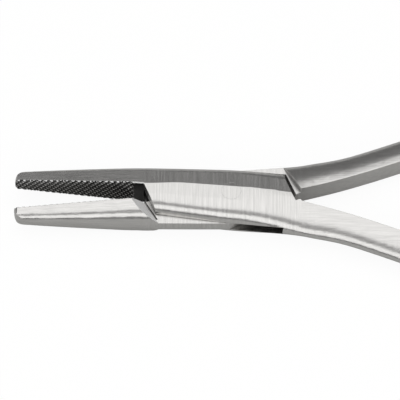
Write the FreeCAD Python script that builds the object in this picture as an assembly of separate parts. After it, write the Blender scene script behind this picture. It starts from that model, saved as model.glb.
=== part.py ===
import FreeCAD, Part
import math
import os

# Spring-handled needle-holder pliers with a box lock and a ratchet at the end of the handles.
#
# Frame: the origin lies on the pivot axis, in the plane that the pliers lie on. The jaws point
# along -X, the handles along +X, and Z is the pivot axis. All sizes are millimetres.
#
# The two halves are drawn with the jaws closed. The box half has its jaw above the X axis and
# its handle below it, and the tongue half is the other way up. Each is then turned by half of
# the opening angle, which is how the pliers lie when nobody holds them.

V = FreeCAD.Vector
Z_AXIS = V(0, 0, 1)
ORIGIN = V(0, 0, 0)

# Overall layout
JAW_REACH = 33.4
HANDLE_REACH = 106.6
OPEN_ANGLE = 8.0

# Box lock
BOX_HALF_HEIGHT = 4.66
BOX_REAR_HEIGHT = 5.25
BOX_THICKNESS = 6.02
GROUND_OFF = 0.03
TONGUE_THICKNESS = 1.86
TONGUE_CLEARANCE = 0.04
TONGUE_WAIST = 4.0
FRONT_SHOULDER_X = 13.35
REAR_SHOULDER_X = 10.65
SHOULDER_SLANT = 28.0
SHOULDER_CLEARANCE = 0.12
SLOT_MARGIN = 0.3
SLOT_REAR_X = 10.95
PIN_RADIUS = 1.5
PIN_RUNNING_CLEARANCE = 0.03
JAW_SHOULDER_BEVEL = 1.3
CHEEK_BEVEL = 0.75

# Jaws
JAW_MID_HEIGHT = 3.65
JAW_MID_X = 16.0
JAW_TIP_HEIGHT = 1.95
JAW_TIP_THICKNESS = 2.7
JAW_TAPER_START = 15.0
JAW_BASE_GAP = 0.5
JAW_TIP_GAP = 0.04
NOSE_RADIUS = 1.1
NOSE_EASE = 0.12

# Serrations: V grooves that cross on the gripping faces
SERRATION_PITCH = 0.96
SERRATION_ANGLES = (52.0, -35.0)
SERRATION_DEPTH = 0.22
SERRATION_END_X = -15.2

# Handles
HANDLE_THICKNESS = 3.9
HANDLE_WIDTH = 4.25
HANDLE_ROOT_WIDTH = 4.9
HANDLE_TAPER_START = 1.0
HANDLE_TAPER_END = 13.0
WIDTH_TAPER_END = 20.0
CROTCH_RADIUS = 0.8
CROTCH_DEPTH = 0.35
NECK_X = 20.0
NECK_DEPTH = 2.42
RISE_X = 0.4034 * HANDLE_REACH
RISE_DEPTH = 9.6
BOW_X = 0.6004 * HANDLE_REACH
BOW_DEPTH = 13.8
FALL_X = 0.788 * HANDLE_REACH
FALL_DEPTH = 11.5
END_X = 0.9287 * HANDLE_REACH
END_DEPTH = 5.9

# Forged section: how square the domes are, from an ellipse at 2 upwards
BOX_SQUARENESS = 3.0
HANDLE_SQUARENESS = 2.0
SECTION_LAND = 0.5
SECTION_EDGE = 0.2
SECTION_SPACING = 3.0
SECTION_STEPS = 12

# Ratchet
RATCHET_ARM_WIDTH = 2.6
RATCHET_GAP = 0.1
TOOTH_HEIGHT = 0.6
TOOTH_PITCH = 2.2
RACK_TEETH = 3
RATCHET_TIP_ANGLE = 2.0
RATCHET_ROOT_ANGLE = 4.0

# Leaf springs and their screws
SPRING_THICKNESS = 0.6
SPRING_WIDTH = 3.2
SPRING_SEAT_START = 0.6567 * HANDLE_REACH
SPRING_SEAT_END = 0.7692 * HANDLE_REACH
SPRING_SEAT_GAP = 0.02
SPRING_MEET_X = 0.3612 * HANDLE_REACH
SPRING_OVERRUN = 1.3
FORK_LENGTH = 3.0
FORK_SLOT_WIDTH = 1.5
FORK_CLEARANCE = 0.2
SCREW_X = 0.7223 * HANDLE_REACH
SCREW_RADIUS = 0.7
SCREW_HEAD_RADIUS = 1.3
SCREW_HEAD_HEIGHT = 0.7
SCREW_DEPTH = 2.6
SCREW_CLEARANCE = 0.03
SCREW_HEAD_GAP = 0.03
SCREW_SLOT_WIDTH = 0.35
SCREW_SLOT_DEPTH = 0.35

# Worked out from the sizes above
HALF_OPEN = OPEN_ANGLE / 2
GROUND_Z = BOX_THICKNESS / 2 - GROUND_OFF
SLOT_THICKNESS = TONGUE_THICKNESS + 2 * TONGUE_CLEARANCE
SLANT = math.tan(math.radians(SHOULDER_SLANT))
RACK_OUTER = HANDLE_REACH
RACK_INNER = RACK_OUTER - RATCHET_ARM_WIDTH
PAWL_OUTER = RACK_INNER - 2 * TOOTH_HEIGHT - RATCHET_GAP
PAWL_INNER = PAWL_OUTER - RATCHET_ARM_WIDTH
FAR = 1.5 * HANDLE_REACH
HIGH = 4 * BOX_THICKNESS


def smooth(start, end, place):
    """0 before start, 1 after end, and a smooth rise between."""
    share = min(1.0, max(0.0, (place - start) / (end - start)))
    return share * share * (3 - 2 * share)


def mix(first, second, share):
    return first + (second - first) * share


def spread(first, last, spacing):
    """Evenly spaced places from first to last, about spacing apart."""
    count = max(1, round((last - first) / spacing))
    return [mix(first, last, step / count) for step in range(count + 1)]


def mirrored(shape):
    """The same shape on the other side of the X axis."""
    return shape.mirror(ORIGIN, V(0, 1, 0))


def turned(shape, degrees):
    """A copy turned about the pivot."""
    copy = shape.copy()
    copy.rotate(ORIGIN, Z_AXIS, degrees)
    return copy


def prism(points, half_height):
    """Upright prism on a plan outline, as far above the middle plane as below it."""
    corners = [V(x, y, -half_height) for x, y in points]
    wire = Part.makePolygon(corners + [corners[0]])
    return Part.Face(wire).extrude(V(0, 0, 2 * half_height))


# Outlines in plan, with the jaws closed

def front_height(x):
    """Half height of the closed pliers ahead of the pivot, from the box to the jaw tips."""
    mid_drop = BOX_HALF_HEIGHT - JAW_MID_HEIGHT
    tip_drop = BOX_HALF_HEIGHT - JAW_TIP_HEIGHT
    curve = (tip_drop / JAW_REACH - mid_drop / JAW_MID_X) / (JAW_REACH - JAW_MID_X)
    slope = mid_drop / JAW_MID_X - curve * JAW_MID_X
    return BOX_HALF_HEIGHT + slope * x - curve * x * x


def box_height(x):
    """Half height of the closed pliers from the jaw tips to the back of the box."""
    if x < 0:
        return front_height(x)
    return mix(BOX_HALF_HEIGHT, BOX_REAR_HEIGHT, (x / REAR_SHOULDER_X) ** 2)


def half_thickness(x):
    """Half thickness of the forging: full at the box, thinner towards tips and handles."""
    if x < 0:
        share = max(0.0, (-x - JAW_TAPER_START) / (JAW_REACH - JAW_TAPER_START))
        return mix(BOX_THICKNESS, JAW_TIP_THICKNESS, share) / 2
    share = smooth(HANDLE_TAPER_START, HANDLE_TAPER_END, x)
    return mix(BOX_THICKNESS, HANDLE_THICKNESS, share) / 2


def squareness(x):
    return mix(BOX_SQUARENESS, HANDLE_SQUARENESS, smooth(HANDLE_TAPER_START, HANDLE_TAPER_END, x))


def handle_width(x):
    return mix(HANDLE_ROOT_WIDTH, HANDLE_WIDTH, smooth(REAR_SHOULDER_X, WIDTH_TAPER_END, x))


def face_y(x):
    """Distance of a closed jaw's gripping face from the X axis: the tips meet first."""
    share = (x + JAW_REACH) / (JAW_REACH - FRONT_SHOULDER_X)
    return mix(JAW_TIP_GAP, JAW_BASE_GAP, share) / 2


def front_line(y, clearance=0.0):
    """x of the slanted joint ahead of the pin, where the lower jaw meets the box."""
    return -FRONT_SHOULDER_X - SLANT * y - clearance


def rear_line(y, clearance=0.0):
    """x of the slanted joint behind the pin, where the upper handle meets the box."""
    return REAR_SHOULDER_X - SLANT * y + clearance


def bow_curve():
    """Inner edge of the closed handle on the +Y side, from the crotch to the ratchet."""
    end_slope = (END_DEPTH - FALL_DEPTH) / (END_X - FALL_X)
    last_x = HANDLE_REACH
    last_depth = END_DEPTH + end_slope * (last_x - END_X)
    curve = Part.BSplineCurve()
    curve.interpolate([
        V(rear_line(-CROTCH_DEPTH), CROTCH_DEPTH, 0),
        V(NECK_X, NECK_DEPTH, 0),
        V(RISE_X, RISE_DEPTH, 0),
        V(BOW_X, BOW_DEPTH, 0),
        V(FALL_X, FALL_DEPTH, 0),
        V(END_X, END_DEPTH, 0),
        V(last_x, last_depth, 0)])
    return curve


BOW = bow_curve()


def bow_frame(x):
    """The point of the handle's inner edge at x, and the direction out of the handle's back."""
    low, high = BOW.FirstParameter, BOW.LastParameter
    for _ in range(50):
        middle = (low + high) / 2
        if BOW.value(middle).x < x:
            low = middle
        else:
            high = middle
    along = BOW.tangent(low)[0]
    return BOW.value(low), V(-along.y, along.x, 0)


# The forged bars that the two halves are cut from

def section(place, outward, width, half_thick, power):
    """One section of a bar: two inner corners, and the dome of its outer side.

    The inner corners lie SECTION_LAND beyond the place, so that a later cut can run there.
    """
    shares = [step / SECTION_STEPS for step in range(SECTION_STEPS + 1)]
    foot = place + outward * SECTION_EDGE
    points = [foot + Z_AXIS * half_thick]
    for share in shares[1:-1]:
        turn = math.pi * (0.5 - share)
        across = (width - SECTION_EDGE) * math.cos(turn) ** (2 / power)
        up = half_thick * math.copysign(abs(math.sin(turn)) ** (2 / power), turn)
        points.append(foot + outward * across + Z_AXIS * up)
    points.append(foot - Z_AXIS * half_thick)
    dome = Part.BSplineCurve()
    dome.interpolate(Points=points, Parameters=shares)
    top = points[0] - outward * (SECTION_EDGE + SECTION_LAND)
    bottom = points[-1] - outward * (SECTION_EDGE + SECTION_LAND)
    return top, dome, bottom


def straight_section(x, side):
    return section(V(x, 0, 0), V(0, side, 0), box_height(x), half_thickness(x), squareness(x))


def handle_section(x, side):
    place, outward = bow_frame(x)
    place = V(place.x, side * place.y, 0)
    outward = V(outward.x, side * outward.y, 0)
    return section(place, outward, handle_width(x), half_thickness(x), squareness(x))


def lines_along(sections):
    """Lines along a bar, through its inner corners and the poles of its domes, and their places."""
    corners = [top for top, dome, bottom in sections]
    places = [0.0]
    for before, after in zip(corners, corners[1:]):
        places.append(places[-1] + (after - before).Length)
    lines = []
    for column in zip(*[[top] + dome.getPoles() + [bottom] for top, dome, bottom in sections]):
        line = Part.BSplineCurve()
        line.interpolate(Points=list(column), Parameters=places)
        lines.append(line)
    return lines, places


def stretch(lines, start, end):
    """The part of each line between two places."""
    parts = []
    for line in lines:
        part = line.copy()
        part.segment(start, end)
        parts.append(part)
    return parts


def skin(lines, dome=None):
    """Surface over neighbouring lines, shaped across them like a dome or else straight."""
    surface = Part.BSplineSurface()
    surface.buildFromPolesMultsKnots(
        list(zip(*[line.getPoles() for line in lines])),
        lines[0].getMultiplicities(), dome.getMultiplicities() if dome else [2, 2],
        lines[0].getKnots(), dome.getKnots() if dome else [0, 1], False, False,
        lines[0].Degree, dome.Degree if dome else 1)
    return surface.toShape()


def closed(faces):
    shell = Part.Shell(faces)
    shell.sewShape()
    solid = Part.Solid(shell)
    if solid.Volume < 0:
        solid.reverse()
    return solid


def one_sided_bar(lines, first, last):
    """Solid bar with a flat inner side and a dome outwards, from its first to its last section."""
    dome = first[1]
    faces = [skin(lines[1:-1], dome), skin(lines[:2]), skin(lines[-2:]), skin([lines[-1], lines[0]])]
    for top, dome, bottom in (first, last):
        faces.append(Part.Face(Part.Wire([
            Part.makeLine(bottom, top), Part.makeLine(top, dome.StartPoint), dome.toShape(),
            Part.makeLine(dome.EndPoint, bottom)])))
    return closed(faces)


def two_sided_bar(upper_lines, lower_lines, ends):
    """Solid bar with a dome on both sides, and an upper and a lower section at each end."""
    dome = ends[0][0][1]
    faces = [skin(upper_lines[1:-1], dome), skin(lower_lines[1:-1], dome)]
    for line in (1, -2):
        faces.append(Part.makeRuledSurface(upper_lines[line].toShape(), lower_lines[line].toShape()))
    for upper, lower in ends:
        faces.append(Part.Face(Part.Wire([
            upper[1].toShape(), Part.makeLine(upper[1].EndPoint, lower[1].EndPoint),
            lower[1].toShape(), Part.makeLine(lower[1].StartPoint, upper[1].StartPoint)])))
    return closed(faces)


def forging():
    """Jaw on the +Y side, box, and handle on the -Y side, before anything is cut."""
    box_front = -FRONT_SHOULDER_X - SECTION_SPACING
    box_rear = REAR_SHOULDER_X + SECTION_LAND
    jaw_places = spread(-JAW_REACH, box_front, SECTION_SPACING)
    box_places = spread(box_front, box_rear, SECTION_SPACING)
    handle_places = spread(box_rear + SECTION_SPACING, HANDLE_REACH, SECTION_SPACING)
    upper = [straight_section(x, 1) for x in jaw_places + box_places[1:]]
    lower = [straight_section(x, -1) for x in box_places]
    lower += [handle_section(x, -1) for x in handle_places]
    upper_lines, upper_places = lines_along(upper)
    lower_lines, lower_places = lines_along(lower)
    front_joint = len(jaw_places) - 1
    rear_joint = len(box_places) - 1
    jaw = one_sided_bar(stretch(upper_lines, 0.0, upper_places[front_joint]),
                        upper[0], upper[front_joint])
    box = two_sided_bar(stretch(upper_lines, upper_places[front_joint], upper_places[-1]),
                        stretch(lower_lines, 0.0, lower_places[rear_joint]),
                        [(upper[front_joint], lower[0]), (upper[-1], lower[rear_joint])])
    handle = one_sided_bar(stretch(lower_lines, lower_places[rear_joint], lower_places[-1]),
                           lower[rear_joint], lower[-1])
    return ground(with_round_nose(jaw).fuse(box).fuse(handle))


def ground(shape):
    """Both sides of the box and the jaw roots ground flat."""
    return shape.common(Part.makeBox(2 * FAR, 2 * FAR, 2 * GROUND_Z, V(-FAR, -FAR, -GROUND_Z)))


# Cutting tools

def with_round_nose(jaw):
    """The upper jaw with the corners of its tip rounded, seen from the side.

    The rounding stands NOSE_EASE proud, so that it meets the forging at a slight angle.
    """
    radius = NOSE_RADIUS
    tip = -JAW_REACH
    middle_z = half_thickness(tip + radius) - radius + NOSE_EASE
    for side in (-1, 1):
        low = middle_z if side > 0 else -middle_z - 2 * radius
        corner = Part.makeBox(2 * radius, 2 * HIGH, 2 * radius, V(tip - radius, -HIGH, low))
        roll = Part.makeCylinder(radius, 2 * HIGH, V(tip + radius, -HIGH, side * middle_z), V(0, 1, 0))
        jaw = jaw.cut(corner.cut(roll))
    return jaw


def mouth_cutter():
    """Everything below the upper jaw's face and ahead of the box."""
    corner_x = front_line(face_y(-FRONT_SHOULDER_X))
    return prism([(-FAR, face_y(-FAR)), (corner_x, face_y(corner_x)),
                  (front_line(-HIGH), -HIGH), (-FAR, -HIGH)], HIGH)


def serration_grooves():
    """V grooves that cross on the face of the upper jaw, each a prism with its edge in the metal."""
    slope = face_y(1) - face_y(0)
    lengthwise = V(1, slope, 0).normalize()
    inward = V(-slope, 1, 0).normalize()
    half_length = BOX_THICKNESS
    proud = SERRATION_DEPTH
    jaw_room = Part.makeBox(FAR + SERRATION_END_X, HIGH, 2 * HIGH, V(-FAR, -HIGH / 2, -HIGH))
    grooves = []
    for angle in SERRATION_ANGLES:
        turn = math.radians(angle)
        along = lengthwise * math.cos(turn) + Z_AXIS * math.sin(turn)
        across = along.cross(inward)
        overrun = BOX_THICKNESS / 2 / abs(math.tan(turn))
        count = round((JAW_REACH + SERRATION_END_X + 2 * overrun) / SERRATION_PITCH)
        for step in range(count + 1):
            x = -JAW_REACH - overrun + (step + 0.5) * SERRATION_PITCH
            start = V(x, face_y(x), 0) - along * half_length
            corners = [start + inward * SERRATION_DEPTH,
                       start + across * (SERRATION_DEPTH + proud) - inward * proud,
                       start - across * (SERRATION_DEPTH + proud) - inward * proud]
            groove = Part.Face(Part.makePolygon(corners + [corners[0]])).extrude(along * (2 * half_length))
            groove = groove.common(jaw_room)
            if groove.Solids:
                grooves.append(groove.Solids[0])
    return grooves


def bow_region(rear_edge, side, corner_radius):
    """Upright block between the slanted joint behind the pin and the inner edge of a handle.

    side is -1 for the room between the handles, above the lower handle, and 1 for the room
    that the upper handle fills.
    """
    start = BOW.StartPoint
    end = BOW.EndPoint
    edge = BOW.toShape() if side > 0 else mirrored(BOW.toShape())
    first = V(start.x, side * start.y, 0)
    last = V(end.x, side * end.y, 0)
    corners = [last, V(FAR, last.y, 0), V(FAR, FAR, 0), V(rear_edge(HIGH), FAR, 0),
               V(rear_edge(HIGH), HIGH, 0), first]
    outline = Part.Wire([edge] + [Part.makeLine(a, b) for a, b in zip(corners, corners[1:])])
    block = Part.Face(outline).extrude(V(0, 0, 2 * HIGH))
    block.translate(V(0, 0, -HIGH))
    if corner_radius:
        crotch = [edge for edge in block.Edges
                  if all(abs(v.X - first.x) + abs(v.Y - first.y) < 1e-6 for v in edge.Vertexes)]
        block = block.makeFillet(corner_radius, crotch)
    return block


def slot_cutter():
    """Mortise through the box that the tongue swings in."""
    front_x = -FRONT_SHOULDER_X - SLOT_MARGIN
    return prism([(front_x + SLANT * HIGH, HIGH), (front_x, 0), (-JAW_REACH, -SLANT * JAW_REACH),
                  (-JAW_REACH, -HIGH), (SLOT_REAR_X - SLANT * HIGH, -HIGH),
                  (SLOT_REAR_X - SLANT * CROTCH_DEPTH, -CROTCH_DEPTH),
                  (SLOT_REAR_X + HIGH, 0), (SLOT_REAR_X + HIGH, HIGH)], SLOT_THICKNESS / 2)


def shoulder_wedge(foot_x, foot_y, bevel, from_z, to_z):
    """Sloping cut along a slanted shoulder, upwards in plan from a foot, on both sides.

    The cut starts on the shoulder's edge at from_z and is bevel wide where it reaches to_z.
    """
    slant = math.radians(SHOULDER_SLANT)
    along = V(-math.sin(slant), math.cos(slant), 0)
    ahead = V(-math.cos(slant), -math.sin(slant), 0)
    reach = HIGH / (to_z - from_z)
    start = V(foot_x, foot_y, 0)
    wedges = []
    for side in (-1, 1):
        foot = start + Z_AXIS * (side * from_z)
        top = start + ahead * (bevel * reach) + Z_AXIS * (side * (from_z + HIGH))
        back = start - ahead * SECTION_LAND + Z_AXIS * (side * (from_z + HIGH))
        heel = start - ahead * SECTION_LAND + Z_AXIS * (side * from_z)
        face = Part.Face(Part.makePolygon([foot, top, back, heel, foot]))
        wedges.append(face.extrude(along * (2 * HIGH)))
    return wedges[0].fuse(wedges[1])


def tangent_slope(x, y):
    """Slope of the tongue's edge that starts at x, y and passes the pin at the waist distance."""
    distance = math.hypot(x, y)
    return math.tan(math.atan2(abs(y), abs(x)) + math.asin(TONGUE_WAIST / distance))


def tongue_outline():
    """Plan outline of the tongue, from inside the lower jaw to inside the upper handle."""
    front_x = front_line(0, SHOULDER_CLEARANCE)
    front_y = -face_y(front_x)
    rear_x = rear_line(-CROTCH_DEPTH, SHOULDER_CLEARANCE)
    rear_y = CROTCH_DEPTH
    upper_slope = tangent_slope(front_x, front_y)
    lower_slope = tangent_slope(rear_x, rear_y)
    edge = BOX_REAR_HEIGHT + 1
    overlap = SECTION_LAND
    return [(front_x - overlap, front_y), (front_x, front_y),
            (front_x + (edge - front_y) / upper_slope, edge),
            (rear_line(edge) + overlap, edge), (rear_x + overlap, rear_y + overlap),
            (rear_x, rear_y), (rear_x - (rear_y + edge) / lower_slope, -edge),
            (front_line(-edge) - overlap, -edge)]


# Ratchet

def on_circle(radius, degrees):
    return V(radius * math.cos(math.radians(degrees)), radius * math.sin(math.radians(degrees)), 0)


def ring_sector(inner, outer, start, end):
    """Flat piece of a ring about the pivot, as thick as the handles."""
    middle = (start + end) / 2
    outline = Part.Wire([
        Part.Arc(on_circle(outer, start), on_circle(outer, middle), on_circle(outer, end)).toShape(),
        Part.makeLine(on_circle(outer, end), on_circle(inner, end)),
        Part.Arc(on_circle(inner, end), on_circle(inner, middle), on_circle(inner, start)).toShape(),
        Part.makeLine(on_circle(inner, start), on_circle(outer, start))])
    piece = Part.Face(outline).extrude(V(0, 0, HANDLE_THICKNESS))
    piece.translate(V(0, 0, -HANDLE_THICKNESS / 2))
    return piece


def saw_tooth(base, tip, steep, gentle):
    """Tooth with a radial face at the steep angle and a ramp that ends at the gentle angle."""
    inside = base - (tip - base)
    points = [on_circle(inside, steep), on_circle(tip, steep), on_circle(base, gentle),
              on_circle(inside, gentle)]
    return prism([(p.x, p.y) for p in points], HANDLE_THICKNESS / 2)


def rack_arm():
    """Toothed arm at the end of the upper handle, which reaches down over the axis."""
    pitch = math.degrees(TOOTH_PITCH / RACK_INNER)
    arm = ring_sector(RACK_INNER, RACK_OUTER, -RATCHET_TIP_ANGLE, RATCHET_ROOT_ANGLE)
    for tooth in range(RACK_TEETH):
        gentle = -RATCHET_TIP_ANGLE + tooth * pitch
        arm = arm.fuse(saw_tooth(RACK_INNER, RACK_INNER - TOOTH_HEIGHT, gentle + pitch, gentle))
    return arm


def pawl_arm():
    """Arm at the end of the lower handle, with the one tooth that catches the rack."""
    pitch = math.degrees(TOOTH_PITCH / PAWL_OUTER)
    arm = ring_sector(PAWL_INNER, PAWL_OUTER, -RATCHET_ROOT_ANGLE, RATCHET_TIP_ANGLE)
    return arm.fuse(saw_tooth(PAWL_OUTER, PAWL_OUTER + TOOTH_HEIGHT, RATCHET_TIP_ANGLE - pitch,
                              RATCHET_TIP_ANGLE))


# Springs and screws, drawn for the upper handle

def screw_axis():
    """Where the screw's axis crosses the handle's inner face, and its way into the handle."""
    return bow_frame(SCREW_X)


def screw_hole(clearance):
    place, inward = screw_axis()
    start = place - inward * (2 * SPRING_THICKNESS)
    return Part.makeCylinder(SCREW_RADIUS + clearance, SCREW_DEPTH + 2 * SPRING_THICKNESS, start, inward)


def screw():
    """Slotted cheese-head screw that holds a spring on the inner face of its handle."""
    place, inward = screw_axis()
    head_height = SPRING_SEAT_GAP + SPRING_THICKNESS + SCREW_HEAD_GAP
    under_head = place - inward * head_height
    head_top = under_head - inward * SCREW_HEAD_HEIGHT
    shank_length = head_height + SCREW_DEPTH - SCREW_RADIUS
    shank = Part.makeCylinder(SCREW_RADIUS, shank_length, under_head, inward)
    point = Part.makeCone(SCREW_RADIUS, SCREW_RADIUS / 2, SCREW_RADIUS / 2,
                          under_head + inward * shank_length, inward)
    head = Part.makeCylinder(SCREW_HEAD_RADIUS, SCREW_HEAD_HEIGHT, head_top, inward)
    slot = Part.makeBox(2 * SCREW_HEAD_RADIUS + 1, 2 * SCREW_SLOT_DEPTH, SCREW_SLOT_WIDTH)
    slot.translate(V(-SCREW_HEAD_RADIUS - 0.5, -SCREW_SLOT_DEPTH, -SCREW_SLOT_WIDTH / 2))
    slot.rotate(ORIGIN, Z_AXIS, math.degrees(math.atan2(-inward.x, inward.y)))
    slot.translate(head_top)
    return head.fuse([shank, point]).cut(slot).removeSplitter()


def spring_route():
    """Middle line of the upper spring at rest, from its seat on the handle to its free end."""
    points = []
    for x in reversed(spread(SPRING_SEAT_START, SPRING_SEAT_END, SECTION_SPACING)):
        place, outward = bow_frame(x)
        seat = place - outward * (SPRING_SEAT_GAP + SPRING_THICKNESS / 2)
        points.append(FreeCAD.Rotation(Z_AXIS, HALF_OPEN).multVec(seat))
    seat = points[-1]
    meet = V(SPRING_MEET_X, 0, 0)
    span = seat - meet
    points.append(meet + V(span.x * 0.74, span.y * 0.92, 0))
    points.append(meet + V(span.x * 0.47, span.y * 0.68, 0))
    points.append(meet + V(span.x * 0.21, span.y * 0.36, 0))
    points.append(meet)
    points.append(meet - V(SPRING_OVERRUN * 0.62, SPRING_OVERRUN * 0.78, 0))
    route = Part.BSplineCurve()
    route.interpolate(points)
    return route


def spring_strip():
    """Leaf spring of even thickness along its route."""
    route = spring_route()
    count = 40
    sides = ([], [])
    for step in range(count + 1):
        place = mix(route.FirstParameter, route.LastParameter, step / count)
        along = route.tangent(place)[0]
        normal = V(-along.y, along.x, 0) * (SPRING_THICKNESS / 2)
        sides[0].append(route.value(place) + normal)
        sides[1].append(route.value(place) - normal)
    edges = []
    for side in sides:
        curve = Part.BSplineCurve()
        curve.interpolate(side)
        edges.append(curve.toShape())
    ends = [Part.makeLine(sides[0][0], sides[1][0]), Part.makeLine(sides[0][-1], sides[1][-1])]
    face = Part.Face(Part.Wire(Part.__sortEdges__(edges + ends)))
    strip = face.extrude(V(0, 0, SPRING_WIDTH))
    strip.translate(V(0, 0, -SPRING_WIDTH / 2))
    hole = turned(screw_hole(SCREW_CLEARANCE), HALF_OPEN)
    return strip.cut(hole)


def spring_end_block(low_z, high_z):
    """Block round the last stretch of the spring, between two heights."""
    route = spring_route()
    tip = route.EndPoint
    back = (route.value(mix(route.FirstParameter, route.LastParameter, 0.97)) - tip).normalize()
    across = V(-back.y, back.x, 0)
    start = tip - back * FORK_LENGTH
    corners = [start + across * FORK_LENGTH, start - across * FORK_LENGTH,
               tip + back * FORK_LENGTH - across * FORK_LENGTH,
               tip + back * FORK_LENGTH + across * FORK_LENGTH]
    wire = Part.makePolygon(corners + [corners[0]])
    block = Part.Face(wire).extrude(V(0, 0, high_z - low_z))
    block.translate(V(0, 0, low_z))
    return block


def forked_spring():
    """The upper spring, whose end is a fork."""
    return spring_strip().cut(spring_end_block(-FORK_SLOT_WIDTH / 2, FORK_SLOT_WIDTH / 2))


def tongued_spring():
    """The lower spring, whose narrow end passes through the fork."""
    half = FORK_SLOT_WIDTH / 2 - FORK_CLEARANCE
    strip = spring_strip()
    strip = strip.cut(spring_end_block(half, SPRING_WIDTH)).cut(spring_end_block(-SPRING_WIDTH, -half))
    return mirrored(strip)


# The two forged halves, with the jaws closed

def box_half():
    """Upper jaw, box with its two cheeks, and lower handle with the pawl."""
    blank = forging().cut(mouth_cutter()).cut(serration_grooves())
    blank = blank.cut(bow_region(rear_line, -1, CROTCH_RADIUS))
    blank = blank.common(Part.makeCylinder(PAWL_OUTER, 2 * HIGH, V(0, 0, -HIGH)))
    blank = blank.cut(slot_cutter())
    blank = blank.cut(shoulder_wedge(rear_line(0), 0, CHEEK_BEVEL, SLOT_THICKNESS / 2,
                                     half_thickness(REAR_SHOULDER_X)))
    blank = blank.fuse(pawl_arm())
    blank = blank.cut(Part.makeCylinder(PIN_RADIUS, 2 * HIGH, V(0, 0, -HIGH)))
    return blank.cut(mirrored(screw_hole(SCREW_CLEARANCE)))


def tongue_half():
    """Lower jaw, tongue, and upper handle with the rack."""
    blank = mirrored(forging())
    blank = blank.common(Part.makeCylinder(RACK_OUTER, 2 * HIGH, V(0, 0, -HIGH)))
    front_x = front_line(0, SHOULDER_CLEARANCE)
    jaw_room = prism([(-FAR, -face_y(-FAR)), (front_x, -face_y(front_x)),
                      (front_line(-HIGH, SHOULDER_CLEARANCE), -HIGH), (-FAR, -HIGH)], HIGH)
    jaw = blank.common(jaw_room)
    jaw = jaw.cut(shoulder_wedge(front_line(-HIGH, SHOULDER_CLEARANCE), -HIGH, JAW_SHOULDER_BEVEL,
                                 TONGUE_THICKNESS / 2, GROUND_Z))
    jaw = jaw.cut([mirrored(groove) for groove in serration_grooves()])
    handle = blank.common(bow_region(lambda y: rear_line(y, SHOULDER_CLEARANCE), 1, 0))
    tongue = blank.common(prism(tongue_outline(), TONGUE_THICKNESS / 2))
    half = jaw.fuse([tongue, handle, rack_arm()])
    half = half.cut(Part.makeCylinder(PIN_RADIUS + PIN_RUNNING_CLEARANCE, 2 * HIGH, V(0, 0, -HIGH)))
    return half.cut(screw_hole(SCREW_CLEARANCE))


def pivot_pin():
    """Pin driven through both cheeks and ground flush with them."""
    return Part.makeCylinder(PIN_RADIUS, 2 * GROUND_Z, V(0, 0, -GROUND_Z))


def build():
    return {
        "box_half": turned(box_half(), -HALF_OPEN),
        "tongue_half": turned(tongue_half(), HALF_OPEN),
        "pivot_pin": pivot_pin(),
        "upper_spring": forked_spring(),
        "lower_spring": tongued_spring(),
        "upper_spring_screw": turned(screw(), HALF_OPEN),
        "lower_spring_screw": turned(mirrored(screw()), -HALF_OPEN)}


def main():
    os.makedirs("parts", exist_ok=True)
    for name, shape in build().items():
        shape.translate(V(0, 0, GROUND_Z))
        shape.exportStep("parts/" + name + ".step")
        print(name, len(shape.Solids), shape.isValid(), round(shape.Volume, 2))


main()
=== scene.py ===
import math

import bmesh
import bpy
from mathutils import Matrix, Vector


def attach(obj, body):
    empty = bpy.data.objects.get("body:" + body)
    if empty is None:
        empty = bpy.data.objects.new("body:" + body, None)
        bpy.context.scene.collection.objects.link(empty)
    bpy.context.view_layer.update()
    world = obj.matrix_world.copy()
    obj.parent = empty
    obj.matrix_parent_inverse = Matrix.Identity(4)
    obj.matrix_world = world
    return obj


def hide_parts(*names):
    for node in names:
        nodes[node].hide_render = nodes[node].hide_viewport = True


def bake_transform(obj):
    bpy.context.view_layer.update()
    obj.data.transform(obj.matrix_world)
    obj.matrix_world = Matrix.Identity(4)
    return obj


# Spring-handled needle-holder pliers, lying on a pale floor.
# Metres, in the frame of the CAD part: the jaws point along -X and Z is the pivot axis.
# Sizes and places of the pliers below are in millimetres, and angles in degrees.

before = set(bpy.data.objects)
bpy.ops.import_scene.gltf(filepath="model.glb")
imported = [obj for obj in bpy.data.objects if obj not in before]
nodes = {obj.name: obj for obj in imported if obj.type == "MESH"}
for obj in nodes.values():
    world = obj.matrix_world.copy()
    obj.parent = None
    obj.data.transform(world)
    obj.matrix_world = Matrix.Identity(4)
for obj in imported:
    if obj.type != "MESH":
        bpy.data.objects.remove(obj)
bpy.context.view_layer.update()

MM = 0.001
MERGE_DISTANCE = 1e-7

# Camera
PHOTO_WIDTH_MM = 61.6
LENS_MM = 300.0
SENSOR_MM = 36.0
CAMERA_ELEVATION = 60.0
CAMERA_ROLL = 0.6
CLIP_RATIO = 50
AIM = Vector((-4.774, 0.0, 2.98)) * MM

# Steels
STEEL = (0.66, 0.65, 0.635, 1.0)
SPRING_STEEL = (0.58, 0.575, 0.57, 1.0)
# Near-white and not metal, so the milled facet and face bevels show bright: a painted highlight on a
# rougher milled finish
PAINTED_BRIGHT_MILLED_STEEL = (0.98, 0.975, 0.97, 1.0)
FORGED_ROUGHNESS = 0.24
MILLED_ROUGHNESS = 0.50
SCREW_ROUGHNESS = 0.28
LEAF_ROUGHNESS = 0.27

# Brushing: how fine it is along X, Y and Z, and how much it changes the surface
GRAIN_ALONG = (150, 4500, 4500)
GRAIN_ACROSS = (4500, 150, 700)
SCREW_GRAIN = (3000, 3000, 300)
LEAF_GRAIN = (200, 4500, 4500)
GRAIN_DEPTH = 0.00002
FORGED_GRAIN_DULLS = 0.10
FORGED_GRAIN_START = -0.08
FORGED_GRAIN_BUMP = 0.25
FORGED_GRAIN_RANGE = (0.3, 0.7)
FORGED_TONE_RANGE = (0.86, 1.06)
PLAIN_GRAIN_DULLS = 0.12
PLAIN_GRAIN_START = -0.06
PLAIN_GRAIN_BUMP = 0.2
PLAIN_TONE = 0.92
PLAIN_GRAIN_TONE = 0.16
PATCH_SCALE = 260.0
PATCH_DULLS = 0.06

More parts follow.
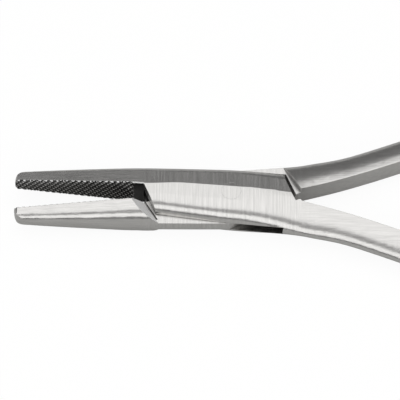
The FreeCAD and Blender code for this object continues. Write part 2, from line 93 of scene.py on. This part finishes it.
# Where the brushing turns from along the jaws to across the box, and back along the handles
FRONT_TURN_X = (-15.0, -12.0)
REAR_TURN_X = (7.0, 15.0)

# Painted shade: how dark the steel's colour is painted in gaps and grooves, and how far its edges are
# eased
GAP_DEPTH_MM = 2.0
GAP_OPENNESS = (0.15, 0.75)
PAINTED_GAP_SHADE = 0.12
GAP_SAMPLES = 12
EDGE_RADIUS_MM = 0.035
EDGE_SAMPLES = 6

# Serrations on the gripping faces, as they are cut in the part, with painted shade in their grooves,
# painted highlights on their tips, and painted shade on the smooth face behind them
SERRATION_PITCH = 0.96
SERRATION_ANGLES = (52.0, -35.0)
SERRATION_END_X = -15.2
PAINTED_FACE_SHADE_END_X = -13.2
FACE_FADE = 0.3
FACE_BAND_Y = (0.75, 0.55)
FACE_TURN = (0.25, 0.5)
RIDGE_SHARE = (0.12, 0.42)
PAINTED_GROOVE_SHADE = 0.13
PAINTED_TIP_HIGHLIGHT = 1.45

# Shape of the pliers when they are closed, for what is cut from them here
HALF_OPEN = 4.0
MIDDLE_Z = 2.98
JAW_TIP_X = -33.4
JAW_TAPER_X = -15.0
JAW_TIP_RISE = 1.35
JAW_FACE_Y = (0.02, 0.25)
FULL_HEIGHT = 3.01
FLAT_TOP = 2.98
HANDLE_HEIGHT = 1.95
HANDLE_TAPER_X = (1.0, 13.0)
TONGUE_TOP = 0.95
SHOULDER_X = -13.47
SHOULDER_SLANT = 28.0
BOX_END_X = 11.5
TOOL_MARGIN = 1.5

# Rounded tips of the jaws, seen from above
NOSE_LENGTH = 3.2
NOSE_WIDTH = 1.95
NOSE_HEIGHT = 2.33
NOSE_STEPS = 40

# Facet on the lower jaw's shoulder, and the relief groove at its foot
FACET_WIDTH = 1.9
FACET_OVERLAP = 0.05
FACET_SPAN = (-8.0, 4.0)
FACET_RISE = (0.3, 0.9)
RELIEF_WIDTH = 0.24
RELIEF_DEPTH = 0.4
RELIEF_HEADROOM = 0.1
RELIEF_SPAN = (-3.8, 4.0)

# Slope ground along the outer side of the upper jaw and of the box
SLOPE_ANGLE = 9.0
SLOPE_STEP = 0.5
SLOPE_MARGIN = 0.6
SLOPE_REACH = 6.5
FLAT_EDGE_Y = 0.83
FLAT_START_X = (-14.5, -7.0)

# Small bevel along the edges of the gripping faces
FACE_BEVEL = 0.16
EDGE_MARGIN = 0.4

# Leaf springs: where they are free, where they are seated, and how finely they are divided
SPRING_FREE_X = 38.5
SPRING_SEAT_X = 69.0
SPRING_LEAD = 3.0
SPRING_STEP = 1.0

# Floor, which shows white to the camera and keeps the shadow
FLOOR_SIZE = 3.0
FLOOR_COLOUR = (0.62, 0.62, 0.61, 1)
FLOOR_ROUGHNESS = 0.9
FIBRE_SCALE = 900.0
FIBRE_BUMP = 0.05
FIBRE_DEPTH = 0.00005
SHADOW_SHARE = 0.15
MIRRORED_SHARE = 0.08
WHITE_STRENGTH = 1.1

# Room and lamps
WHITE = (1, 1, 1, 1)
ROOM_GREY = (0.14, 0.14, 0.14, 1)
MIRRORED_ROOM_SHARE = 0.05
LAMP_DISTANCE = 0.9
LAMP_LENGTH = 1.4

NORMAL_STORE = "cad_normal"


def node_tools(owner):
    """Empties the nodes of a material or a world, and gives short ways to add and link new ones."""
    owner.use_nodes = True
    tree = owner.node_tree
    tree.nodes.clear()

    def add(kind, **settings):
        node = tree.nodes.new(kind)
        for key, value in settings.items():
            setattr(node, key, value)
        return node

    def link(start, end):
        tree.links.new(start, end)

    return add, link


def math_node(add, link, operation, *values):
    """A Math node with numbers or other nodes' outputs going in."""
    node = add("ShaderNodeMath", operation=operation)
    for socket, value in zip(node.inputs, values):
        if isinstance(value, (int, float)):
            socket.default_value = value
        else:
            link(value, socket)
    return node.outputs[0]


def noise(add, link, coordinates, scale, detail):
    texture = add("ShaderNodeTexNoise")
    texture.inputs["Scale"].default_value = scale
    texture.inputs["Detail"].default_value = detail
    link(coordinates, texture.inputs["Vector"])
    return texture


def streaks(add, link, coordinates, scale):
    """Fine noise drawn out along one axis."""
    mapping = add("ShaderNodeMapping")
    mapping.inputs["Scale"].default_value = scale
    link(coordinates, mapping.inputs["Vector"])
    texture = noise(add, link, mapping.outputs["Vector"], 1.0, 3.0)
    texture.inputs["Roughness"].default_value = 0.6
    return texture.outputs["Fac"]


def between(add, link, value, start, end):
    """0 where value is below start, 1 above end, and a smooth rise between."""
    rise = add("ShaderNodeMapRange", interpolation_type="SMOOTHSTEP")
    link(value, rise.inputs["Value"])
    rise.inputs["From Min"].default_value = start
    rise.inputs["From Max"].default_value = end
    return rise.outputs["Result"]


def painted_gap_shade(add, link):
    """Painted shade: 1 on open surfaces, falling to the darkest painted shade in narrow gaps and
    grooves, by ambient occlusion.
    """
    occlusion = add("ShaderNodeAmbientOcclusion", samples=GAP_SAMPLES)
    occlusion.inputs["Distance"].default_value = GAP_DEPTH_MM * MM
    share = between(add, link, occlusion.outputs["AO"], *GAP_OPENNESS)
    share.node.inputs["To Min"].default_value = PAINTED_GAP_SHADE
    return share


def painted_grip_shade_and_highlight(add, link, coordinates, half_turn):
    """1 away from the gripping face. On it, painted shade in the grooves between painted highlights on
    the tips, and painted shade on the smooth face behind the serrations.
    """
    closed = add("ShaderNodeMapping")
    closed.inputs["Rotation"].default_value = (0, 0, math.radians(half_turn))
    closed.inputs["Location"].default_value = (0, 0, -MIDDLE_Z * MM)
    link(coordinates, closed.inputs["Vector"])
    place = add("ShaderNodeSeparateXYZ")
    link(closed.outputs["Vector"], place.inputs["Vector"])
    x, y, z = place.outputs
    tips = 1.0
    for angle in SERRATION_ANGLES:
        slope = math.tan(math.radians(angle))
        start = JAW_TIP_X - FLAT_TOP / abs(slope)
        along = math_node(add, link, "MULTIPLY_ADD", z, -1 / slope, x)
        count = math_node(add, link, "SUBTRACT", along, start * MM)
        count = math_node(add, link, "DIVIDE", count, SERRATION_PITCH * MM)
        share = math_node(add, link, "FRACT", count)
        share = math_node(add, link, "SUBTRACT", share, 0.5)
        ridge = math_node(add, link, "ABSOLUTE", share)
        tips = math_node(add, link, "MULTIPLY", between(add, link, ridge, *RIDGE_SHARE), tips)
    # Past the serrations the tips fade out, so the smooth face up to its end takes only the painted
    # groove shade
    serrated = between(add, link, x, (SERRATION_END_X + FACE_FADE) * MM, SERRATION_END_X * MM)
    tips = math_node(add, link, "MULTIPLY", tips, serrated)
    # Painted shade in the grooves, and painted highlights brighter than the steel's own colour on the
    # tips
    tone = math_node(add, link, "MULTIPLY_ADD", tips, PAINTED_TIP_HIGHLIGHT - PAINTED_GROOVE_SHADE, PAINTED_GROOVE_SHADE)
    facing = add("ShaderNodeSeparateXYZ")
    link(add("ShaderNodeNewGeometry").outputs["True Normal"], facing.inputs["Vector"])
    facing = math_node(add, link, "ABSOLUTE", facing.outputs["Y"])
    on_face = between(add, link, facing, *FACE_TURN)
    distance = math_node(add, link, "ABSOLUTE", y)
    near = between(add, link, distance, FACE_BAND_Y[0] * MM, FACE_BAND_Y[1] * MM)
    ahead = between(add, link, x, (PAINTED_FACE_SHADE_END_X + FACE_FADE) * MM, PAINTED_FACE_SHADE_END_X * MM)
    mask = math_node(add, link, "MULTIPLY", on_face, near)
    mask = math_node(add, link, "MULTIPLY", mask, ahead)
    mix = add("ShaderNodeMix", data_type="FLOAT")
    link(mask, mix.inputs["Factor"])
    mix.inputs["A"].default_value = 1.0
    link(tone, mix.inputs["B"])
    return mix.outputs["Result"]


def steel_shader(add, link, colour, metallic):
    """A steel shader that is linked to the material's output."""
    shader = add("ShaderNodeBsdfPrincipled")
    shader.inputs["Base Color"].default_value = colour
    shader.inputs["Metallic"].default_value = metallic
    output = add("ShaderNodeOutputMaterial")
    link(shader.outputs["BSDF"], output.inputs["Surface"])
    return shader


def tint_shader(add, link, shader, colour, shade):
    """Gives a shader the colour, made darker or brighter by the shade."""
    tint = add("ShaderNodeVectorMath", operation="SCALE")
    tint.inputs[0].default_value = colour[:3]
    link(shade, tint.inputs["Scale"])
    link(tint.outputs["Vector"], shader.inputs["Base Color"])


def bump_shader(add, link, shader, height, strength, depth):
    """Gives a shader fine relief, and returns the bump node."""
    bump = add("ShaderNodeBump")
    bump.inputs["Strength"].default_value = strength
    bump.inputs["Distance"].default_value = depth
    link(height, bump.inputs["Height"])
    link(bump.outputs["Normal"], shader.inputs["Normal"])
    return bump


def forged_steel(name, half_turn):
    """Satin steel, brushed along the handles and jaws and across the box."""
    material = bpy.data.materials.new(name)
    add, link = node_tools(material)
    coordinates = add("ShaderNodeTexCoord").outputs["Object"]
    place = add("ShaderNodeSeparateXYZ")
    link(coordinates, place.inputs["Vector"])
    x = place.outputs["X"]
    front = between(add, link, x, FRONT_TURN_X[0] * MM, FRONT_TURN_X[1] * MM)
    rear = between(add, link, x, REAR_TURN_X[0] * MM, REAR_TURN_X[1] * MM)
    on_box = math_node(add, link, "SUBTRACT", front, rear)
    mix = add("ShaderNodeMix", data_type="FLOAT")
    link(on_box, mix.inputs["Factor"])
    link(streaks(add, link, coordinates, GRAIN_ALONG), mix.inputs["A"])
    link(streaks(add, link, coordinates, GRAIN_ACROSS), mix.inputs["B"])
    grain = mix.outputs["Result"]

    shader = steel_shader(add, link, STEEL, 1.0)
    dull = math_node(add, link, "MULTIPLY_ADD", grain, FORGED_GRAIN_DULLS,
                     FORGED_ROUGHNESS + FORGED_GRAIN_START)
    patches = noise(add, link, coordinates, PATCH_SCALE, 4.0)
    worn = math_node(add, link, "MULTIPLY_ADD", patches.outputs["Fac"], PATCH_DULLS, dull)
    link(worn, shader.inputs["Roughness"])
    tone = add("ShaderNodeMapRange")
    link(grain, tone.inputs["Value"])
    tone.inputs["From Min"].default_value = FORGED_GRAIN_RANGE[0]
    tone.inputs["From Max"].default_value = FORGED_GRAIN_RANGE[1]
    tone.inputs["To Min"].default_value = FORGED_TONE_RANGE[0]
    tone.inputs["To Max"].default_value = FORGED_TONE_RANGE[1]
    # The colour takes painted shade in gaps and grooves, found by ambient occlusion
    shade = math_node(add, link, "MULTIPLY", tone.outputs["Result"], painted_gap_shade(add, link))
    # Painted shade and painted highlights of the serrations on the gripping faces
    shade = math_node(add, link, "MULTIPLY", shade, painted_grip_shade_and_highlight(add, link, coordinates, half_turn))
    tint_shader(add, link, shader, STEEL, shade)
    edges = add("ShaderNodeBevel", samples=EDGE_SAMPLES)
    edges.inputs["Radius"].default_value = EDGE_RADIUS_MM * MM
    bump = bump_shader(add, link, shader, grain, FORGED_GRAIN_BUMP, GRAIN_DEPTH)
    link(edges.outputs["Normal"], bump.inputs["Normal"])
    return material


def plain_steel(name, colour, roughness, scale, metallic=1.0):
    """Satin steel with fine streaks in one direction."""
    material = bpy.data.materials.new(name)
    add, link = node_tools(material)
    coordinates = add("ShaderNodeTexCoord").outputs["Object"]
    grain = streaks(add, link, coordinates, scale)
    shader = steel_shader(add, link, colour, metallic)
    dull = math_node(add, link, "MULTIPLY_ADD", grain, PLAIN_GRAIN_DULLS, roughness + PLAIN_GRAIN_START)
    link(dull, shader.inputs["Roughness"])
    tone = math_node(add, link, "MULTIPLY_ADD", grain, PLAIN_GRAIN_TONE, PLAIN_TONE)
    tint_shader(add, link, shader, colour, tone)
    bump_shader(add, link, shader, grain, PLAIN_GRAIN_BUMP, GRAIN_DEPTH)
    return material


def dress(piece, *materials):
    """Gives a piece these materials in place of its own."""
    piece.data.materials.clear()
    for material in materials:
        piece.data.materials.append(material)


def new_object(name, data):
    """An object that holds the data, in the scene."""
    made = bpy.data.objects.new(name, data)
    bpy.context.scene.collection.objects.link(made)
    return made


def merged_copy(node_name, piece_name):
    """A copy of a CAD piece whose faces share their corners. It keeps their normals in a store."""
    data = nodes[node_name].data.copy()
    kept = data.attributes.new(NORMAL_STORE, "FLOAT_VECTOR", "CORNER")
    for corner, normal in enumerate(data.corner_normals):
        kept.data[corner].vector = normal.vector
    mesh = bmesh.new()
    mesh.from_mesh(data)
    bmesh.ops.remove_doubles(mesh, verts=mesh.verts, dist=MERGE_DISTANCE)
    mesh.to_mesh(data)
    mesh.free()
    return new_object(piece_name, data)


def lofted_tool(name, rings):
    """Closed solid through rings of as many points each, in millimetres."""
    mesh = bmesh.new()
    loops = [[mesh.verts.new(point * MM) for point in ring] for ring in rings]
    count = len(loops[0])
    for loop, following in zip(loops, loops[1:]):
        for i in range(count):
            after = (i + 1) % count
            mesh.faces.new((loop[i], loop[after], following[after], following[i]))
    mesh.faces.new(loops[0])
    mesh.faces.new(loops[-1])
    bmesh.ops.recalc_face_normals(mesh, faces=mesh.faces)
    data = bpy.data.meshes.new(name)
    mesh.to_mesh(data)
    mesh.free()
    return new_object(name, data)


def prism_tool(name, outline, span, place):
    """Closed prism on an outline of (u, v) points, over a span of w, set by a matrix."""
    return lofted_tool(name, [[place @ Vector((u, v, w)) for u, v in outline] for w in span])


def cut(piece, tools):
    """Takes the tools away from a piece and deletes them."""
    for tool in tools:
        taking = piece.modifiers.new("cut", "BOOLEAN")
        taking.operation = "DIFFERENCE"
        taking.solver = "EXACT"
        taking.object = tool
    bpy.context.view_layer.update()
    evaluated = piece.evaluated_get(bpy.context.evaluated_depsgraph_get())
    data = bpy.data.meshes.new_from_object(evaluated)
    piece.modifiers.clear()
    piece.data = data
    for tool in tools:
        bpy.data.objects.remove(tool)


def restore_normals(piece):
    """Gives the faces of the CAD piece their own shading back, and the cut ones a flat one.

    Returns the cut faces' numbers.
    """
    data = piece.data
    kept = data.attributes[NORMAL_STORE]
    normals = []
    cut_faces = []
    for face in data.polygons:
        stored = [Vector(kept.data[corner].vector) for corner in face.loop_indices]
        if min(normal.length for normal in stored) > 0.5:
            normals += [normal.normalized() for normal in stored]
        else:
            normals += [face.normal.copy() for normal in stored]
            cut_faces.append(face.index)
    data.attributes.remove(kept)
    data.shade_smooth()
    data.normals_split_custom_set(normals)
    return cut_faces


def opened(side):
    """Turn of a half from closed to rest. side is 1 for the upper jaw's half, -1 for the lower's."""
    return Matrix.Rotation(math.radians(-side * HALF_OPEN), 4, "Z")


def nose_tool(side):
    """What lies outside the rounded tip of a jaw, seen from above."""
    outer_y = NOSE_HEIGHT + TOOL_MARGIN
    outline = [(JAW_TIP_X - TOOL_MARGIN, 0.0), (JAW_TIP_X - TOOL_MARGIN, outer_y),
               (JAW_TIP_X + NOSE_LENGTH, outer_y)]
    for step in range(NOSE_STEPS + 1):
        turn = math.pi / 2 * (1 + step / NOSE_STEPS)
        outline.append((JAW_TIP_X + NOSE_LENGTH * (1 + math.cos(turn)),
                        NOSE_HEIGHT - NOSE_WIDTH * (1 - math.sin(turn))))
    outline.append((JAW_TIP_X, 0.0))
    outline = [(x, side * y) for x, y in outline]
    return prism_tool("nose_tool", outline, (-TOOL_MARGIN, 2 * MIDDLE_Z + TOOL_MARGIN), opened(side))


def facet_tools():
    """What lays a sloping facet and its groove on both sides of the lower jaw's shoulder."""
    slant = math.radians(SHOULDER_SLANT)
    along = Vector((-math.sin(slant), math.cos(slant), 0))
    ahead = Vector((-math.cos(slant), -math.sin(slant), 0))
    high = 2 * FLAT_TOP - TONGUE_TOP
    facet = [(-FACET_OVERLAP, TONGUE_TOP), (2 * FACET_WIDTH, high), (-FACET_OVERLAP, high)]
    low = TONGUE_TOP - RELIEF_DEPTH
    high = TONGUE_TOP + RELIEF_HEADROOM
    relief = [(-RELIEF_WIDTH, low), (0, low), (0, high), (-RELIEF_WIDTH, high)]
    foot = Matrix.Translation((SHOULDER_X, 0, MIDDLE_Z))
    tools = []
    for z_side in (-1, 1):
        axes = Matrix((ahead, Vector((0, 0, z_side)), along)).transposed().to_4x4()
        place = opened(-1) @ foot @ axes
        tools.append(prism_tool("facet_tool", facet, FACET_SPAN, place))
        tools.append(prism_tool("relief_tool", relief, RELIEF_SPAN, place))
    return tools


def ramp(start, end, value):
    """0 below start, 1 above end, and a smooth rise between."""
    share = min(1.0, max(0.0, (value - start) / (end - start)))
    return share * share * (3 - 2 * share)


def top_height(x):
    """Height of a half's top over the middle plane, along the closed pliers."""
    taper = max(0.0, (JAW_TAPER_X - x) / (JAW_TAPER_X - JAW_TIP_X))
    jaw = FULL_HEIGHT - (FULL_HEIGHT - JAW_TIP_RISE) * taper
    handle = FULL_HEIGHT - (FULL_HEIGHT - HANDLE_HEIGHT) * ramp(*HANDLE_TAPER_X, x)
    return min(jaw, handle, FLAT_TOP)


def face_y(x):
    """Distance of a closed jaw's gripping face from the X axis."""
    return JAW_FACE_Y[0] + (JAW_FACE_Y[1] - JAW_FACE_Y[0]) * (x - JAW_TIP_X) / (SHOULDER_X - JAW_TIP_X)


def lofted_tools(name, sections, side):
    """Two closed solids through sections drawn on the top of the upper half, one for each face."""
    tools = []
    for z_side in (-1, 1):
        rings = []
        for section in sections:
            points = [Vector((x, side * y, MIDDLE_Z + z_side * z)) for x, y, z in section]
            rings.append([opened(side) @ point for point in points])
        tools.append(lofted_tool(name, rings))
    return tools


def slope_tools():
    """What a grinder takes off the outer slope of the upper jaw and of the box.

    The slope starts at the gripping face on the jaw, and at the edge of the flat on the box.
    """
    fall = math.tan(math.radians(SLOPE_ANGLE))
    steps = round((BOX_END_X - JAW_TIP_X + TOOL_MARGIN) / SLOPE_STEP)
    high = 2 * FLAT_TOP
    sections = []
    for step in range(steps + 1):
        x = JAW_TIP_X - TOOL_MARGIN + step * SLOPE_STEP
        start = face_y(min(x, SHOULDER_X))
        edge = start + (FLAT_EDGE_Y - start) * ramp(*FLAT_START_X, x)
        inner = edge - SLOPE_MARGIN
        top = top_height(x)
        sections.append([(x, inner, top + fall * SLOPE_MARGIN),
                         (x, SLOPE_REACH, top - fall * (SLOPE_REACH - edge)),
                         (x, SLOPE_REACH, high), (x, inner, high)])
    return lofted_tools("slope_tool", sections, 1)


def edge_tools(side):
    """Small bevel along the edge between a jaw's top and its gripping face."""
    sections = []
    for x in (JAW_TIP_X - TOOL_MARGIN, JAW_TAPER_X, SHOULDER_X):
        y = face_y(x)
        top = top_height(max(x, JAW_TIP_X))
        if x < JAW_TIP_X:
            top -= (FULL_HEIGHT - JAW_TIP_RISE) * (JAW_TIP_X - x) / (JAW_TAPER_X - JAW_TIP_X)
        sections.append([(x, y + FACE_BEVEL + EDGE_MARGIN, top + EDGE_MARGIN),
                         (x, y - EDGE_MARGIN, top + EDGE_MARGIN),
                         (x, y - EDGE_MARGIN, top - FACE_BEVEL - EDGE_MARGIN)])
    return lofted_tools("edge_tool", sections, side)


def ground_piece(node_name, piece_name, body, tools, material):
    """A CAD piece with what the tools grind off it, which stands for the CAD one."""
    piece = merged_copy(node_name, piece_name)
    cut(piece, tools)
    cut_faces = restore_normals(piece)
    dress(piece, material, painted_bright_milled_steel)
    for face in cut_faces:
        # Sloping cut faces, the facet and the face bevels, take the near-white milled steel that paints
        # them bright
        if FACET_RISE[0] < abs(piece.data.polygons[face].normal.z) < FACET_RISE[1]:
            piece.data.polygons[face].material_index = 1
    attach(piece, body)
    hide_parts(node_name)


def bending_spring(node_name):
    """A finely divided copy of a CAD spring, divided across at even steps from before its free end to
    past its seat, which stands for the CAD one.
    """
    data = nodes[node_name].data.copy()
    mesh = bmesh.new()
    mesh.from_mesh(data)
    bmesh.ops.remove_doubles(mesh, verts=mesh.verts, dist=MERGE_DISTANCE)
    x = SPRING_FREE_X - SPRING_LEAD
    while x < SPRING_SEAT_X + SPRING_STEP:
        parts = mesh.verts[:] + mesh.edges[:] + mesh.faces[:]
        bmesh.ops.bisect_plane(mesh, geom=parts, plane_co=(x * MM, 0, 0), plane_no=(1, 0, 0),
                               dist=MERGE_DISTANCE)
        x += SPRING_STEP
    mesh.to_mesh(data)
    mesh.free()
    spring = new_object(node_name.replace("spring", "leaf_spring"), data)
    dress(spring, leaf_steel)
    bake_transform(spring)
    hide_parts(node_name)


box_steel = forged_steel("box_half_steel", HALF_OPEN)
tongue_steel = forged_steel("tongue_half_steel", -HALF_OPEN)
# Near-white, non-metal colour: a painted highlight on the milled faces, whose roughness is their real
# finish
painted_bright_milled_steel = plain_steel("painted_bright_milled_steel", PAINTED_BRIGHT_MILLED_STEEL, MILLED_ROUGHNESS, GRAIN_ACROSS, 0.0)
screw_steel = plain_steel("screw_steel", STEEL, SCREW_ROUGHNESS, SCREW_GRAIN)
leaf_steel = plain_steel("leaf_steel", SPRING_STEEL, LEAF_ROUGHNESS, LEAF_GRAIN)

dress(nodes["upper_spring_screw"], screw_steel)
dress(nodes["lower_spring_screw"], screw_steel)
box_tools = [nose_tool(1)] + slope_tools() + edge_tools(1)
ground_piece("box_half", "box_half_forging", "box_body", box_tools, box_steel)
tongue_tools = [nose_tool(-1)] + facet_tools() + edge_tools(-1)
ground_piece("tongue_half", "tongue_half_forging", "tongue_body", tongue_tools, tongue_steel)
ground_piece("pivot_pin", "ground_pivot_pin", "box_body", slope_tools(), box_steel)
bending_spring("upper_spring")
bending_spring("lower_spring")


def white_share(add, link, straight, mirrored):
    """How white a surface shows, to rays from the camera and to those that steel mirrors."""
    rays = add("ShaderNodeLightPath")
    share = math_node(add, link, "MULTIPLY", rays.outputs["Is Camera Ray"], straight)
    for kind in ("Is Glossy Ray", "Is Transmission Ray"):
        share = math_node(add, link, "MULTIPLY_ADD", rays.outputs[kind], mirrored, share)
    return share


def mix_shaders(add, link, share, first, second, output):
    mix = add("ShaderNodeMixShader")
    link(share, mix.inputs["Fac"])
    link(first, mix.inputs[1])
    link(second, mix.inputs[2])
    link(mix.outputs["Shader"], output.inputs["Surface"])


def floor_material():
    material = bpy.data.materials.new("floor_paper")
    add, link = node_tools(material)
    coordinates = add("ShaderNodeTexCoord").outputs["Object"]
    fibres = noise(add, link, coordinates, FIBRE_SCALE, 2.0)
    paper = add("ShaderNodeBsdfPrincipled")
    paper.inputs["Base Color"].default_value = FLOOR_COLOUR
    paper.inputs["Roughness"].default_value = FLOOR_ROUGHNESS
    bump_shader(add, link, paper, fibres.outputs["Fac"], FIBRE_BUMP, FIBRE_DEPTH)
    white = add("ShaderNodeEmission")
    white.inputs["Color"].default_value = WHITE
    white.inputs["Strength"].default_value = WHITE_STRENGTH
    share = white_share(add, link, 1 - SHADOW_SHARE, MIRRORED_SHARE)
    output = add("ShaderNodeOutputMaterial")
    mix_shaders(add, link, share, paper.outputs["BSDF"], white.outputs["Emission"], output)
    return material


def make_floor():
    data = bpy.data.meshes.new("floor")
    half = FLOOR_SIZE / 2
    corners = [(-half, -half, 0), (half, -half, 0), (half, half, 0), (-half, half, 0)]
    data.from_pydata(corners, [], [(0, 1, 2, 3)])
    floor = new_object("floor", data)
    dress(floor, floor_material())


def make_world():
    world = bpy.data.worlds.new("studio")
    add, link = node_tools(world)
    room = add("ShaderNodeBackground")
    room.inputs["Color"].default_value = ROOM_GREY
    white = add("ShaderNodeBackground")
    white.inputs["Color"].default_value = WHITE
    share = white_share(add, link, 1.0, MIRRORED_ROOM_SHARE)
    output = add("ShaderNodeOutputWorld")
    mix_shaders(add, link, share, room.outputs["Background"], white.outputs["Background"], output)
    bpy.context.scene.world = world


def softbox(name, tilt, width, power):
    """Area lamp over the pliers, tilted from straight above: plus is towards +Y."""
    lamp = bpy.data.lights.new(name, "AREA")
    lamp.shape = "RECTANGLE"
    lamp.size = LAMP_LENGTH
    lamp.size_y = width
    lamp.energy = power
    holder = new_object(name, lamp)
    angle = math.radians(tilt)
    holder.location = Vector((0, math.sin(angle), math.cos(angle))) * LAMP_DISTANCE
    holder.rotation_euler = (-angle, 0, 0)


def make_camera():
    data = bpy.data.cameras.new("camera")
    data.lens = LENS_MM
    data.sensor_width = SENSOR_MM
    camera = new_object("camera", data)
    rise = math.radians(CAMERA_ELEVATION)
    back = Vector((0, -math.cos(rise), math.sin(rise)))
    distance = PHOTO_WIDTH_MM * MM * LENS_MM / SENSOR_MM
    camera.location = AIM + back * distance
    roll = Matrix.Rotation(math.radians(CAMERA_ROLL), 3, "Z")
    turn = (-back).to_track_quat("-Z", "Y").to_matrix() @ roll
    camera.rotation_euler = turn.to_euler()
    data.clip_start = distance / CLIP_RATIO
    data.clip_end = distance * CLIP_RATIO
    bpy.context.scene.camera = camera


make_floor()
make_world()
softbox("top_softbox", tilt=13.0, width=0.92, power=4.4)
softbox("fill_softbox", tilt=-25.0, width=0.35, power=0.35)
softbox("front_softbox", tilt=-54.0, width=0.58, power=3.0)
make_camera()
bpy.context.scene.view_settings.view_transform = "Standard"
